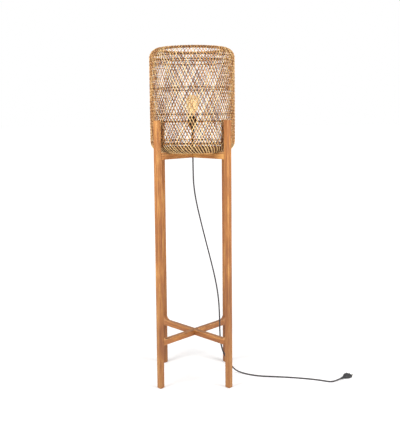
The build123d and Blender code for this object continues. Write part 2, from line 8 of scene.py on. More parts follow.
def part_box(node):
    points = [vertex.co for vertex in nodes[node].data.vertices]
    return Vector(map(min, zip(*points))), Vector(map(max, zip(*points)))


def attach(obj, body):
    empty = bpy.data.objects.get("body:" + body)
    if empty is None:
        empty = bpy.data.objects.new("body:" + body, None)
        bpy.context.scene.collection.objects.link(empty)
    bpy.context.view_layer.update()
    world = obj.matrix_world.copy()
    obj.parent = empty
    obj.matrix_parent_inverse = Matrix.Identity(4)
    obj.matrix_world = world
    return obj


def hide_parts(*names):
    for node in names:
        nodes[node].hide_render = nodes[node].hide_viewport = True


# Looks of the floor lamp: oiled teak stand, woven rattan shade, amber bulb, black lampholder, fabric cord.
# Metres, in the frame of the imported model.

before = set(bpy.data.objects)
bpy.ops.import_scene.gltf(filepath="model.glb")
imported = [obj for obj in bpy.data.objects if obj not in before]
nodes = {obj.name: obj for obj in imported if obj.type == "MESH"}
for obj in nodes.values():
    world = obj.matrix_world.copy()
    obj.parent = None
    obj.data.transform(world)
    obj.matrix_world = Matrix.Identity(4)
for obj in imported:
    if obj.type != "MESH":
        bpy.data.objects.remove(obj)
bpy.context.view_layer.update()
scene = bpy.context.scene
scene.view_settings.view_transform = "Standard"
rng = np.random.default_rng(41)        # drawn from in a fixed order, so each run is the same

# ---- camera ---------------------------------------------------------------------------------
CAMERA_PLACE = (0.0313, -2.9207, 1.2071)
PITCH = 0.0923            # downwards
ROLL = -0.0094
LENS = 54.295
SHIFT_Y = -0.0944

camera_data = bpy.data.cameras.new("camera")
camera_data.lens = LENS
camera_data.sensor_width = 36.0
camera_data.shift_y = SHIFT_Y
camera_data.clip_end = 60.0
camera = bpy.data.objects.new("camera", camera_data)
scene.collection.objects.link(camera)
look = Matrix.Rotation(math.pi / 2 - PITCH, 4, "X") @ Matrix.Rotation(ROLL, 4, "Z")
camera.matrix_world = Matrix.Translation(CAMERA_PLACE) @ look
scene.camera = camera

# ---- cord -----------------------------------------------------------------------------------
CORD_DIAMETER = 0.0065
CORD_ROUTE = [
    (0, 0, 1.0104),
    (0, 0, 0.960),
    (0.0018, 0, 0.886),
    (0.0132, 0.0005, 0.808),
    (0.0325, 0.0015, 0.722),
    (0.0545, 0.003, 0.630),
    (0.0773, 0.0045, 0.538),
    (0.098, 0.006, 0.448),
    (0.1118, 0.0075, 0.360),
    (0.116, 0.009, 0.276),
    (0.1166, 0.010, 0.196),
    (0.120, 0.011, 0.142),
    (0.134, 0.0125, 0.092),
    (0.160, 0.014, 0.048),
    (0.188, 0.016, 0.009),
    (0.234, -0.012, 0.0033),
    (0.291, -0.038, 0.0033),
    (0.360, -0.047, 0.0033),
    (0.436, -0.057, 0.0033),
    (0.512, -0.074, 0.0033),
    (0.566, -0.091, 0.0033),
    (0.612, -0.113, 0.0033),
    (0.6439, -0.0996, 0.0073),
    (0.6607, -0.0854, 0.0073),
]

cord_line = bpy.data.curves.new("mains_cord", "CURVE")
cord_line.dimensions = "3D"
route = cord_line.splines.new("NURBS")
route.points.add(len(CORD_ROUTE) - 1)
for point, place in zip(route.points, CORD_ROUTE):
    point.co = (*place, 1.0)
route.order_u = 3
route.use_endpoint_u = True
route.resolution_u = 12
cord_line.bevel_depth = CORD_DIAMETER / 2
cord_line.bevel_resolution = 4
mains_cord = bpy.data.objects.new("mains_cord", cord_line)
scene.collection.objects.link(mains_cord)


# ---- material helpers -----------------------------------------------------------------------
class Tree:
    """A material's node tree with one Principled shader."""

    def __init__(self, name):
        self.material = bpy.data.materials.new(name)
        self.material.use_nodes = True
        self.tree = self.material.node_tree
        self.tree.nodes.clear()
        output = self.tree.nodes.new("ShaderNodeOutputMaterial")
        self.shader = self.tree.nodes.new("ShaderNodeBsdfPrincipled")
        self.tree.links.new(self.shader.outputs["BSDF"], output.inputs["Surface"])

    def put(self, socket, value):
        if isinstance(value, bpy.types.NodeSocket):
            self.tree.links.new(value, socket)
        elif isinstance(value, tuple) and len(value) == 3 and socket.type == "RGBA":
            socket.default_value = (*value, 1.0)
        else:
            socket.default_value = value

    def add(self, kind, inputs=None, **settings):
        """A node of that kind; inputs are by socket name or number, settings are the node's own."""
        made = self.tree.nodes.new("ShaderNode" + kind)
        for key, value in settings.items():
            setattr(made, key, value)
        for key, value in (inputs or {}).items():
            self.put(made.inputs[key], value)
        return made

    def math(self, operation, a, b=0.0, c=0.0):
        return self.add("Math", {0: a, 1: b, 2: c}, operation=operation).outputs[0]

    def noise(self, vector, scale, detail=2.0, roughness=0.5):
        made = self.add(
            "TexNoise", {"Vector": vector, "Scale": scale, "Detail": detail, "Roughness": roughness},
        )
        return made.outputs["Fac"]

    def span(self, value, low, high, to_low=0.0, to_high=1.0, smooth=True):
        """The value carried from low..high to to_low..to_high, and held at both ends."""
        made = self.add(
            "MapRange",
            {"Value": value, "From Min": low, "From Max": high, "To Min": to_low, "To Max": to_high},
            interpolation_type="SMOOTHSTEP" if smooth else "LINEAR",
        )
        return made.outputs["Result"]

    def mix(self, factor, a, b):
        """Colour a at factor 0 and colour b at factor 1."""
        made = self.add("Mix", {0: factor, 6: a, 7: b}, data_type="RGBA", blend_type="MIX")
        return made.outputs[2]

    def ramp(self, value, stops):
        made = self.add("ValToRGB", {"Fac": value})
        elements = made.color_ramp.elements
        while len(elements) < len(stops):
            elements.new(0.5)
        for element, (position, colour) in zip(elements, stops):
            element.position = position
            element.color = (*colour, 1.0)
        return made.outputs["Color"]

    def stretched(self, vector, scale, location=(0, 0, 0)):
        """The vector with each axis multiplied, for streaks."""
        made = self.add("Mapping", {"Vector": vector, "Scale": scale, "Location": location})
        return made.outputs["Vector"]

    def part(self, vector, number):
        """One of a vector's three numbers."""
        return self.add("SeparateXYZ", {"Vector": vector}).outputs[number]

    def bump(self, height, distance, strength):
        made = self.add("Bump", {"Height": height, "Distance": distance, "Strength": strength})
        self.put(self.shader.inputs["Normal"], made.outputs["Normal"])

    def finish(self, **values):
        for key, value in values.items():
            self.put(self.shader.inputs[key.replace("_", " ")], value)
        return self.material


def object_place(tree, location=(0, 0, 0), rotation=(0, 0, 0)):
    """The place on the surface in a piece's own axes: its centre line at location, turned by rotation."""
    place = tree.add("TexCoord").outputs["Object"]
    made = tree.add("Mapping", {"Vector": place, "Location": location, "Rotation": rotation},
                    vector_type="TEXTURE")
    return made.outputs["Vector"]


def give(material, *names):
    """Puts a material on CAD nodes."""
    for name in names:
        nodes[name].data.materials.clear()
        nodes[name].data.materials.append(material)


# ---- teak -----------------------------------------------------------------------------------
TEAK_DARK = (0.270, 0.092, 0.026)
TEAK_BROWN = (0.400, 0.148, 0.042)
TEAK_MID = (0.545, 0.218, 0.055)
TEAK_LIGHT = (0.820, 0.430, 0.125)
TEAK_LIFT = -0.07         # added to the tone that picks the colour
# The top rails are paler than the legs: partly their own tone, partly painted light where the lampshade
# shades them.
TOP_RAIL_LIFT = -0.02
LOW_RAIL_LIFT = -0.13
PORE_BROWN = (0.14, 0.045, 0.016)
KNOT_BROWN = (0.16, 0.050, 0.018)
FOOT_PAINTED_SHADE = (0.27, 0.105, 0.038)
INNER_FACE_PAINTED_SHADE = (0.24, 0.075, 0.022)
EDGE_DARK = (0.13, 0.045, 0.018)
EDGE_RUBBED = (0.76, 0.42, 0.17)
DUST_AND_SHEEN_TOP = (0.40, 0.235, 0.135)
END_GRAIN = (0.22, 0.075, 0.027)
LEG_HALF = 0.012
RAIL_HALF_HEIGHT = 0.0125
RAIL_HALF_WIDTH = 0.012
LOW_RAIL_RISE = 0.002     # the grain of the lower rails is centred this much higher


def heartwood(tree, place, seed, halo):
    """Distance from the log's wandering centre line, which lies outside the piece and bends round knots."""
    wander = tree.noise(tree.stretched(place, (1, 1, 0.35), (seed, 0, 0)), 7.0, 2.0)
    heart_x = tree.math("ADD", tree.part(place, 0), 0.021 + 0.013 * math.sin(seed * 5.1))
    heart_y = tree.math("ADD", tree.part(place, 1), 0.047 + 0.012 * math.cos(seed * 3.7))
    bent_x = tree.math("MULTIPLY_ADD", wander, 0.022, heart_x)
    bent_x = tree.math("MULTIPLY_ADD", halo, 0.011, bent_x)
    square_x = tree.math("MULTIPLY", bent_x, bent_x)
    square_y = tree.math("MULTIPLY", heart_y, heart_y)
    return tree.math("SQRT", tree.math("ADD", square_x, square_y))


def near_edges(tree, place, half_x, half_y):
    """1 along a square piece's long edges, in patches, and 0 elsewhere."""
    off_x = tree.math("DIVIDE", tree.math("ABSOLUTE", tree.part(place, 0)), half_x)
    off_y = tree.math("DIVIDE", tree.math("ABSOLUTE", tree.part(place, 1)), half_y)
    edge = tree.math("MINIMUM", off_x, off_y)
    patchy = tree.noise(tree.stretched(place, (1, 1, 0.3)), 60.0, 2.0)
    return tree.math("MULTIPLY", tree.span(edge, 0.80, 0.94), tree.span(patchy, 0.35, 0.7, 0.15, 0.6))


def teak(name, location, rotation, half_x, half_y, seed, lift=TEAK_LIFT, inner=0):
    """Oiled teak with its grain along the piece's own Z; half_x and half_y are half its section.

    A leg has inner set to 1 or -1, the way its inner face looks along X; that face is painted darker, as
    shade.
    It is painted darker towards its foot too, as shade, and its low edges are dark rather than rubbed light.
    A rail's top faces are greyer, partly from dust and partly as a painted sheen of light from above.
    """
    tree = Tree(name)
    place = object_place(tree, location, rotation)
    z = tree.part(place, 2)
    knots = tree.add(
        "TexVoronoi", {"Vector": tree.stretched(place, (1, 1, 0.45), (seed, seed, 0)), "Scale": 17.0},
        feature="F1",
    ).outputs["Distance"]
    knot = tree.span(knots, 0.06, 0.11, 1.0, 0.0)
    halo = tree.span(knots, 0.06, 0.26, 1.0, 0.0)
    ring = heartwood(tree, place, seed, halo)
    along = tree.math("MULTIPLY", z, 0.05)
    ring_place = tree.add("CombineXYZ", {0: ring, 1: along, 2: seed}).outputs[0]
    growth = tree.noise(ring_place, 210.0, 3.0, 0.6)
    wide = tree.noise(ring_place, 60.0, 2.0, 0.5)
    fibre = tree.noise(tree.stretched(place, (1, 1, 0.025), (seed * 2, 0, 0)), 1500.0, 2.0)
    pores = tree.noise(tree.stretched(place, (1, 1, 0.04), (0, seed * 3, 0)), 2300.0, 1.0)
    pore = tree.span(pores, 0.60, 0.72)
    tone = tree.noise(tree.stretched(place, (1, 1, 0.2), (0, 0, seed)), 11.0, 3.0)
    lines = tree.math("MULTIPLY_ADD", wide, 0.45, tree.math("MULTIPLY", growth, 0.55))
    shade = tree.math("MULTIPLY_ADD", tone, 0.26, tree.math("MULTIPLY", lines, 0.92))
    colour = tree.ramp(tree.math("ADD", shade, lift), [
        (0.36, TEAK_DARK), (0.45, TEAK_BROWN), (0.54, TEAK_MID), (0.66, TEAK_LIGHT),
    ])
    colour = tree.mix(tree.span(fibre, 0.35, 0.65, 0.0, 0.22), colour, TEAK_DARK)
    colour = tree.mix(tree.math("MULTIPLY", pore, 0.45), colour, PORE_BROWN)
    colour = tree.mix(tree.math("MULTIPLY", knot, 0.72), colour, KNOT_BROWN)
    normal = tree.add("NewGeometry").outputs["Normal"]
    rubbed = EDGE_RUBBED
    if inner:
        # painted shade: the leg turns darker towards its foot, where less light reaches
        colour = tree.mix(tree.span(z, 0.05, 0.85, 0.42, 0.0), colour, FOOT_PAINTED_SHADE)
        # the leg's inner face is painted darker here: painted shade
        inward = tree.math("MULTIPLY", tree.part(normal, 0), float(inner))
        colour = tree.mix(tree.span(inward, 0.35, 0.65, 0.0, 0.17), colour, INNER_FACE_PAINTED_SHADE)
        rubbed = tree.mix(tree.span(z, 0.15, 0.60), EDGE_DARK, EDGE_RUBBED)
    else:
        # a rail's upward faces turn greyer: partly dust, partly a painted sheen of light from above
        colour = tree.mix(tree.span(tree.part(normal, 2), 0.6, 0.95, 0.0, 0.35), colour, DUST_AND_SHEEN_TOP)
    colour = tree.mix(near_edges(tree, place, half_x, half_y), colour, rubbed)
    turned_in = tree.add("Mapping", {"Vector": normal, "Rotation": rotation}, vector_type="TEXTURE")
    facing = tree.math("ABSOLUTE", tree.part(turned_in.outputs[0], 2))
    colour = tree.mix(tree.span(facing, 0.75, 0.97, 0.0, 0.45), colour, END_GRAIN)
    height = tree.math("MULTIPLY_ADD", fibre, 0.6, tree.math("MULTIPLY", pore, -1.0))
    tree.bump(height, 0.00012, 0.8)
    gloss = tree.math("MULTIPLY_ADD", pore, 0.2, tree.span(growth, 0.3, 0.7, 0.40, 0.54))
    return tree.finish(Base_Color=colour, Roughness=gloss, Specular_IOR_Level=0.45)


LEG_SIDES = {"leg_rear_right": 1, "leg_rear_left": -1, "leg_front_left": -1, "leg_front_right": 1}
for count, (leg, side) in enumerate(LEG_SIDES.items()):
    low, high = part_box(leg)
    middle = (low + high) / 2
    turned = (0, 0, math.radians(45))
    wood = teak("teak_" + leg, (middle.x, middle.y, 0), turned, LEG_HALF, LEG_HALF, 1.3 + count, inner=-side)
    give(wood, leg)

RAIL_TURNS = {"top_rail_a": 45, "top_rail_b": 135, "low_rail_a": 45, "low_rail_b": 135}
for count, (rail, turn) in enumerate(RAIL_TURNS.items()):
    is_top = rail.startswith("top")
    low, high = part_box(rail)
    height = low.z + RAIL_HALF_HEIGHT + (0.0 if is_top else LOW_RAIL_RISE)
    turned = Matrix.Rotation(math.radians(turn), 3, "Z") @ Matrix.Rotation(math.pi / 2, 3, "Y")
    wood = teak("teak_" + rail, (0, 0, height), tuple(turned.to_euler()), RAIL_HALF_HEIGHT, RAIL_HALF_WIDTH,
                6.2 + count, TOP_RAIL_LIFT if is_top else LOW_RAIL_LIFT)
    give(wood, rail)


# ---- woven rattan ---------------------------------------------------------------------------
shade_low, shade_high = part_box("shade_weave")
WALL = 0.005
SIDE = shade_high.x - WALL / 2
SHADE_TOP = shade_high.z
SHADE_BASE = shade_low.z
HEEL_OUTSIDE = 0.050      # the rounding below the straight side
SHOULDER_OUTSIDE = 0.045  # the rounding above it
HEEL = HEEL_OUTSIDE - WALL / 2
SHOULDER = SHOULDER_OUTSIDE - WALL / 2
BASE_OPENING = 0.141
TOP_OPENING = 0.146
STRANDS = 82              # each way
CANE_STEPS = 152
# Levels counted from the base at these lengths along the wall. Canes cross at each whole level, and the open
# cells are widest there, so a hoop behind a whole level shows as a row of dots.
LEVEL_LENGTHS = (0.0, 0.0719, 0.1939, 0.3079, 0.4269, 0.4469, 0.5087)
LEVEL_COUNTS = (0.0, 6.0, 15.0, 23.0, 31.0, 33.0, 38.0)
# Lengths along the wall from the base, like LEVEL_LENGTHS:
PLAITED_TO = 0.053        # below this the canes that climb to the left all lie outside the others
WOVEN_FROM = 0.066        # above this they go over and under
HEEL_FADE_TO = 0.090      # the heel's painted light has faded out here
HEEL_FADE_OVER = 0.020    # and takes this much to do so
SLIMMER_FROM = 0.440      # the canes start to get slimmer here
SLIMMER_OVER = 0.050      # and take this much to do so
OUTER_PALER = 0.55        # where they aren't woven, outer canes are paler by this and inner ones darker
OUTER_WIDER = 0.12        # and outer canes are wider by this share and inner ones narrower
# the heel's canes are painted paler by this: painted light for the down-facing heel
HEEL_PAINTED_LIGHT = 0.10
SLIMMER = 0.28            # share of a cane's width
SWING = 0.00128           # how far a cane swings over and under
SWING_VARIES = 0.00012
HALF_WIDTH = 0.00160
WIDTH_DIFFERS = 0.06      # share, from cane to cane
WIDTH_VARIES = 0.04       # share, along a cane
HALF_THICK = 0.00122
MEAN_TONE = 0.5
TONE_DIFFERS = 0.30
STRAY_ALONG = 0.0009      # how far a cane strays from its line along its length
STRAY_WHOLE = 0.0006      # and as a whole
CANE_SIDES = 8
TEXTURE_RADIUS = 0.0018   # a cane's texture goes round it as round a cane of this size
STRAIGHT_FROM = SHADE_BASE + HEEL_OUTSIDE
STRAIGHT_TO = SHADE_TOP - SHOULDER_OUTSIDE
WALL_LENGTH = (HEEL + SHOULDER) * math.pi / 2 + STRAIGHT_TO - STRAIGHT_FROM


def wall_line(s):
    """(radius, height, outward radius part, outward height part) at length s along the wall's middle."""
    heel_end = HEEL * math.pi / 2
    wall_end = heel_end + STRAIGHT_TO - STRAIGHT_FROM
    low_angle = np.clip(s / HEEL, 0, math.pi / 2)
    high_angle = np.clip((s - wall_end) / SHOULDER, 0, math.pi / 2)

    def pick(heel, shoulder, straight):
        return np.where(s < heel_end, heel, np.where(s > wall_end, shoulder, straight))

    out_r = pick(np.sin(low_angle), np.cos(high_angle), 1.0)
    out_z = pick(-np.cos(low_angle), np.sin(high_angle), 0.0)
    radius = pick(BASE_OPENING + HEEL * np.sin(low_angle), TOP_OPENING + SHOULDER * np.cos(high_angle), SIDE)
    height = pick(STRAIGHT_FROM - HEEL * np.cos(low_angle), STRAIGHT_TO + SHOULDER * np.sin(high_angle),
                  STRAIGHT_FROM + s - heel_end)
    return radius, height, out_r, out_z


def canes(name, centre, outward, half_width, half_thick, *, sides=CANE_SIDES, closed, tone, material):
    """Flat-oval canes of the shade, swept along centre lines.

    centre and outward are (canes, steps, 3) arrays. Two attributes go with the points: tone, how pale a cane
    is, which in the heel also holds painted light, and skin, which is 1 on its outward side and -1 on its
    inward side.
    """
    count, steps = centre.shape[:2]
    if closed:
        tangent = np.roll(centre, -1, axis=1) - np.roll(centre, 1, axis=1)
    else:
        tangent = np.gradient(centre, axis=1)
    tangent /= np.linalg.norm(tangent, axis=2, keepdims=True)
    across = np.cross(tangent, outward)
    across /= np.linalg.norm(across, axis=2, keepdims=True)
    over = np.cross(across, tangent)
    turn = np.arange(sides) * 2 * math.pi / sides + math.pi / sides
    half_width = np.broadcast_to(half_width, (count, steps))[:, :, None, None]
    half_thick = np.broadcast_to(half_thick, (count, steps))[:, :, None, None]
    points = (centre[:, :, None, :]
              + across[:, :, None, :] * np.cos(turn)[None, None, :, None] * half_width
              + over[:, :, None, :] * np.sin(turn)[None, None, :, None] * half_thick)
    run = np.linalg.norm(np.diff(centre, axis=1, append=centre[:, :1]), axis=2)
    length = np.concatenate([np.zeros((count, 1)), np.cumsum(run, axis=1)], axis=1)
    spans = steps if closed else steps - 1
    cane = np.arange(count)[:, None, None]
    step = np.arange(spans)[None, :, None]
    side = np.arange(sides)[None, None, :]
    after = (step + 1) % steps
    beside = (side + 1) % sides

    def number(at_step, at_side):
        return (cane * steps + at_step) * sides + at_side

    quads = np.stack([number(step, side) + 0 * side, number(step, beside),
                      number(after, beside), number(after, side) + 0 * side], axis=-1).reshape(-1, 4)
    around = 2 * math.pi * TEXTURE_RADIUS / sides
    start = rng.uniform(0, 40, count)[:, None, None]
    v_low = length[:, :spans, None] + start + 0.0 * side
    v_high = length[:, 1:spans + 1, None] + start + 0.0 * side
    u_low = side * around + start * 0.37 + 0.0 * step
    u_high = (side + 1) * around + start * 0.37 + 0.0 * step
    uv = np.stack([
        np.stack([u_low, v_low], -1), np.stack([u_high, v_low], -1),
        np.stack([u_high, v_high], -1), np.stack([u_low, v_high], -1),
    ], axis=-2).reshape(-1, 2)
    faces = quads.tolist()
    if not closed:
        for c in range(count):
            first = c * steps * sides
            last = first + (steps - 1) * sides
            faces.append(list(range(first + sides - 1, first - 1, -1)))
            faces.append(list(range(last, last + sides)))
        caps = np.zeros((count * 2 * sides, 2))
        caps[:, 1] = np.repeat(start.ravel(), 2 * sides)
        uv = np.concatenate([uv, caps])
    mesh = bpy.data.meshes.new(name)
    mesh.from_pydata(points.reshape(-1, 3).tolist(), [], faces)
    mesh.uv_layers.new(name="cane").data.foreach_set("uv", uv.ravel())
    paleness = np.asarray(tone, float).reshape(count, -1, 1)
    for kind, values in (("tone", paleness), ("skin", np.sin(turn)[None, None, :])):
        at_points = np.broadcast_to(values, (count, steps, sides))
        attribute = mesh.attributes.new(kind, "FLOAT", "POINT")
        attribute.data.foreach_set("value", at_points.ravel().astype(np.float32))
    mesh.polygons.foreach_set("use_smooth", [True] * len(mesh.polygons))
    mesh.materials.append(material)
    mesh.update()
    made = bpy.data.objects.new(name, mesh)
    scene.collection.objects.link(made)
    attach(made, "shade")
    return made


FLECK_BROWN = (0.13, 0.052, 0.020)
JOINT_BROWN = (0.15, 0.062, 0.024)
PITH_AND_PAINTED_SHADE_DARK = (0.060, 0.019, 0.007)
PITH_AND_PAINTED_SHADE_LIGHT = (0.165, 0.060, 0.021)


def rattan(name, dark, mid, light):
    """Split rattan: its glossy tan skin faces out and its browner pith faces in.

    It has fibres, uneven tan along each cane, brown joints and flecks. Its pith is made very dark, partly
    its own brown and partly painted shade for the inside of the lampshade.
    """
    tree = Tree(name)
    place = tree.add("UVMap", uv_map="cane").outputs["UV"]
    tone = tree.add("Attribute", attribute_name="tone", attribute_type="GEOMETRY").outputs["Fac"]
    fibre = tree.noise(tree.stretched(place, (1, 0.02, 1)), 1900.0, 2.0)
    patch = tree.noise(tree.stretched(place, (0.6, 1, 1)), 38.0, 3.0, 0.6)
    joint = tree.noise(tree.stretched(place, (0.05, 1, 1)), 13.0, 1.0)
    joint = tree.span(joint, 0.69, 0.74)
    fleck = tree.noise(tree.stretched(place, (1, 0.12, 1)), 800.0, 1.0)
    fleck = tree.span(fleck, 0.66, 0.74)
    level = tree.math("MULTIPLY_ADD", patch, 0.55, tree.math("MULTIPLY", tone, 0.5))
    colour = tree.ramp(level, [(0.30, dark), (0.50, mid), (0.72, light)])
    colour = tree.mix(tree.span(fibre, 0.35, 0.70, 0.0, 0.30), colour, dark)
    colour = tree.mix(tree.math("MULTIPLY", fleck, 0.6), colour, FLECK_BROWN)
    colour = tree.mix(tree.math("MULTIPLY", joint, 0.65), colour, JOINT_BROWN)
    skin = tree.add("Attribute", attribute_name="skin", attribute_type="GEOMETRY").outputs["Fac"]
    # the inward sides: partly the pith's own brown, partly painted shade inside the lampshade
    pith = tree.mix(patch, PITH_AND_PAINTED_SHADE_DARK, PITH_AND_PAINTED_SHADE_LIGHT)
    colour = tree.mix(tree.span(skin, -0.25, 0.45), pith, colour)
    tree.bump(tree.math("MULTIPLY_ADD", joint, 0.8, fibre), 0.00012, 0.7)
    gloss = tree.span(fibre, 0.3, 0.7, 0.36, 0.52)
    return tree.finish(Base_Color=colour, Roughness=gloss, Specular_IOR_Level=0.5)


cane_finish = rattan("rattan", (0.310, 0.116, 0.030), (0.715, 0.345, 0.100), (0.970, 0.670, 0.300))
rim_finish = rattan("rattan_rim", (0.110, 0.042, 0.016), (0.420, 0.190, 0.064), (0.920, 0.600, 0.285))
# the rings inside the shade wall are painted dark brown: painted shade
hoop_painted_shade_finish = rattan("rattan_hoop_painted_shade", (0.070, 0.028, 0.010), (0.140, 0.060, 0.022), (0.260, 0.125, 0.050))


def slow_wave(count, x, size, waves):
    """Gentle seeded wandering, one row for each cane."""
    total = np.zeros((count, x.size))
    for wave in waves:
        phase = rng.uniform(0, 2 * math.pi, count)[:, None]
        total += np.sin(2 * math.pi * wave * x[None, :] / WALL_LENGTH + phase)
    return total * size / math.sqrt(len(waves))


def weave(name, hand):
    """One family of canes over and under the other: hand is 1 for canes that climb to the right, else -1."""
    s = np.linspace(0.0, WALL_LENGTH, CANE_STEPS)
    level = np.interp(s, LEVEL_LENGTHS, LEVEL_COUNTS)
    climb = math.pi * level / STRANDS
    radius, height, out_r, out_z = wall_line(s)
    start = (np.arange(STRANDS) + 0.5) * 2 * math.pi / STRANDS
    stray = slow_wave(STRANDS, s, STRAY_ALONG, (1.3, 2.9, 5.3)) / SIDE
    stray += rng.normal(0, STRAY_WHOLE, STRANDS)[:, None] / SIDE
    angle = start[:, None] + hand * climb[None, :] + stray
    woven = np.clip((s - PLAITED_TO) / (WOVEN_FROM - PLAITED_TO), 0, 1)
    swing = hand * SWING * (np.cos(math.pi * level) * woven - (1 - woven))
    swing = swing[None, :] + slow_wave(STRANDS, s, SWING_VARIES, (9.0, 13.0))
    r = radius[None, :] + swing * out_r[None, :]
    centre = np.stack([r * np.cos(angle), r * np.sin(angle), height[None, :] + swing * out_z[None, :]], -1)
    outward = np.stack([out_r * np.cos(angle), out_r * np.sin(angle), out_z + 0 * angle], -1)
    uneven = (1 + rng.normal(0, WIDTH_DIFFERS, STRANDS))[:, None]
    width = HALF_WIDTH * uneven * (1 + slow_wave(STRANDS, s, WIDTH_VARIES, (4.0, 7.0)))
    slimmer = 1 - SLIMMER * np.clip((s - SLIMMER_FROM) / SLIMMER_OVER, 0, 1)
    width = width * (slimmer * (1 - OUTER_WIDER * hand * (1 - woven)))[None, :]
    in_heel = np.clip((HEEL_FADE_TO - s) / HEEL_FADE_OVER, 0, 1)
    # paler holds the heel's painted light and the outer and inner canes' tone where they aren't woven
    paler = HEEL_PAINTED_LIGHT * in_heel - OUTER_PALER * hand * (1 - woven)
    tone = np.clip(rng.normal(MEAN_TONE, TONE_DIFFERS, STRANDS), 0.0, 1.0)[:, None] + paler[None, :]
    made = canes(name, centre, outward, width, HALF_THICK, closed=False, tone=tone, material=cane_finish)
    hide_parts("shade_weave")


weave("weave_right", 1)
weave("weave_left", -1)


def ring_cane(name, reach, middle, wire):
    """A slightly uneven dark round cane bent into a ring; reach is the ring's radius and wire the cane's."""
    steps = 240
    turn = np.arange(steps) * 2 * math.pi / steps
    r = reach + 0.0002 * np.sin(5 * turn + 1.0) + 0.00015 * np.sin(9 * turn + middle * 50)
    z = middle + 0.0003 * np.sin(3 * turn + middle * 90)
    centre = np.stack([r * np.cos(turn), r * np.sin(turn), z], -1)[None]
    outward = np.stack([np.cos(turn), np.sin(turn), 0 * turn], -1)[None]
    thick = wire * 0.98
    # the ring is in the dark hoop finish: painted shade for a ring inside the wall
    made = canes(name, centre, outward, thick, thick,
                 sides=10, closed=True, tone=[0.35], material=hoop_painted_shade_finish)
    return made


def hoop(name, node):
    """A cane hoop that stands for a CAD ring of the same size."""
    low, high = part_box(node)
    wire = (high.z - low.z) / 2
    made = ring_cane(name, high.x - wire, (low.z + high.z) / 2, wire)
    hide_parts(node)


for number in range(1, 8):
    hoop(f"cane_hoop_{number}", f"shade_hoop_{number}")
hoop("cane_top_ring", "shade_top_ring")

# Rows of round cane inside the heel, in the dark hoop finish: painted shade inside the wall.
BASE_ROW_LENGTHS = (0.006, 0.013, 0.020, 0.027, 0.034, 0.052)   # along the wall, from the base opening
BASE_ROW_WIRE = 0.0021
for number, length in enumerate(BASE_ROW_LENGTHS, start=1):
    radius, height, out_r, out_z = wall_line(np.array(length))
    inside = WALL / 2 + BASE_ROW_WIRE
    reach = float(radius - inside * out_r)
    ring_cane(f"base_row_{number}", reach, float(height - inside * out_z), BASE_ROW_WIRE)


STEPS_PER_WRAP = 14
BRAID_TONES = [-0.20, 0.85]   # one dark cane and one pale one


def braid(name, node, reach, middle, *, wound, swing, wraps, half_width, half_thick):
    """Two canes wound round a ring, one each way and over and under each other, like a plaited edge.

    The ring's own line has the radius reach and the height middle, and the canes lie at the distance wound
    from it, more and less by swing.
    """
    steps = wraps * STEPS_PER_WRAP
    turn = np.arange(steps) * 2 * math.pi / steps
    lines = []
    outs = []
    for hand in (1, -1):
        roll = hand * wraps * turn
        off = wound + hand * swing * np.cos(wraps * turn)
        r = reach + off * np.cos(roll)
        lines.append(np.stack([r * np.cos(turn), r * np.sin(turn), middle + off * np.sin(roll)], -1))
        outs.append(np.stack([np.cos(roll) * np.cos(turn), np.cos(roll) * np.sin(turn), np.sin(roll)], -1))
    made = canes(name, np.stack(lines), np.stack(outs), half_width, half_thick,
                 closed=True, tone=BRAID_TONES, material=rim_finish)
    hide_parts(node)


RIM_RADIUS = 0.1445
RIM_HEIGHT = SHADE_TOP - 0.0072
RIM_CORE_WIRE = 0.0034
BASE_RING_RADIUS = 0.1385
BASE_RING_HEIGHT = SHADE_BASE + 0.0052
braid("rim_braid", "rim_binding", RIM_RADIUS, RIM_HEIGHT,
      wound=0.0048, swing=0.0011, wraps=82, half_width=0.0018, half_thick=0.0012)
# the braid's core ring, in the dark hoop finish: painted shade behind the braid
ring_cane("rim_core", RIM_RADIUS, RIM_HEIGHT, RIM_CORE_WIRE)
braid("base_braid", "shade_base_ring", BASE_RING_RADIUS, BASE_RING_HEIGHT,
      wound=0.0033, swing=0.0008, wraps=72, half_width=0.0019, half_thick=0.0010)


# ---- metal, plastic, glass ------------------------------------------------------------------
def plain(name, colour, roughness, metallic=0.0, grain=900.0, vary=0.12, **more):
    """A moulded or metal surface with fine uneven gloss, faint tone and a light grain."""
    tree = Tree(name)
    place = tree.add("TexCoord").outputs["Object"]
    fine = tree.noise(place, grain, 2.0)
    broad = tree.noise(place, 45.0, 2.0)
    darker = tuple(c * (1 - vary) for c in colour)
    lighter = tuple(min(c * (1 + vary), 1.0) for c in colour)
    tone = tree.ramp(broad, [(0.35, darker), (0.65, lighter)])
    tree.bump(fine, 0.00002, 0.6)
    gloss = tree.span(broad, 0.3, 0.7, roughness * 0.85, min(roughness * 1.2, 1.0))
    return tree.finish(Base_Color=tone, Roughness=gloss, Metallic=metallic, **more)


give(plain("beech", (0.55, 0.38, 0.22), 0.6), "top_dowels", "low_dowels")
give(plain("nylon", (0.10, 0.07, 0.05), 0.55), "foot_pads")
give(plain("zinc", (0.62, 0.62, 0.60), 0.32, 1.0), "lap_screw", "plate_screws", "stem_nut_upper",
     "stem_nut_lower", "stem_washer", "grip_screw", "terminal_screws")
give(plain("black_lacquer", (0.012, 0.010, 0.010), 0.42, Specular_IOR_Level=0.25),
     "stem_tube", "stem_plate")
give(plain("black_bakelite", (0.012, 0.008, 0.007), 0.38, Specular_IOR_Level=0.25),
     "holder_cap", "holder_skirt")
give(plain("porcelain", (0.80, 0.78, 0.72), 0.18, vary=0.03), "holder_insert")
give(plain("brass", (0.78, 0.57, 0.25), 0.28, 1.0), "holder_shell", "centre_contact")
give(plain("nickel", (0.72, 0.68, 0.60), 0.22, 1.0), "bulb_cap", "plug_pins")
give(plain("solder", (0.55, 0.55, 0.55), 0.45, 1.0), "bulb_tip")
give(plain("black_glass", (0.02, 0.02, 0.025), 0.12), "bulb_insulator")
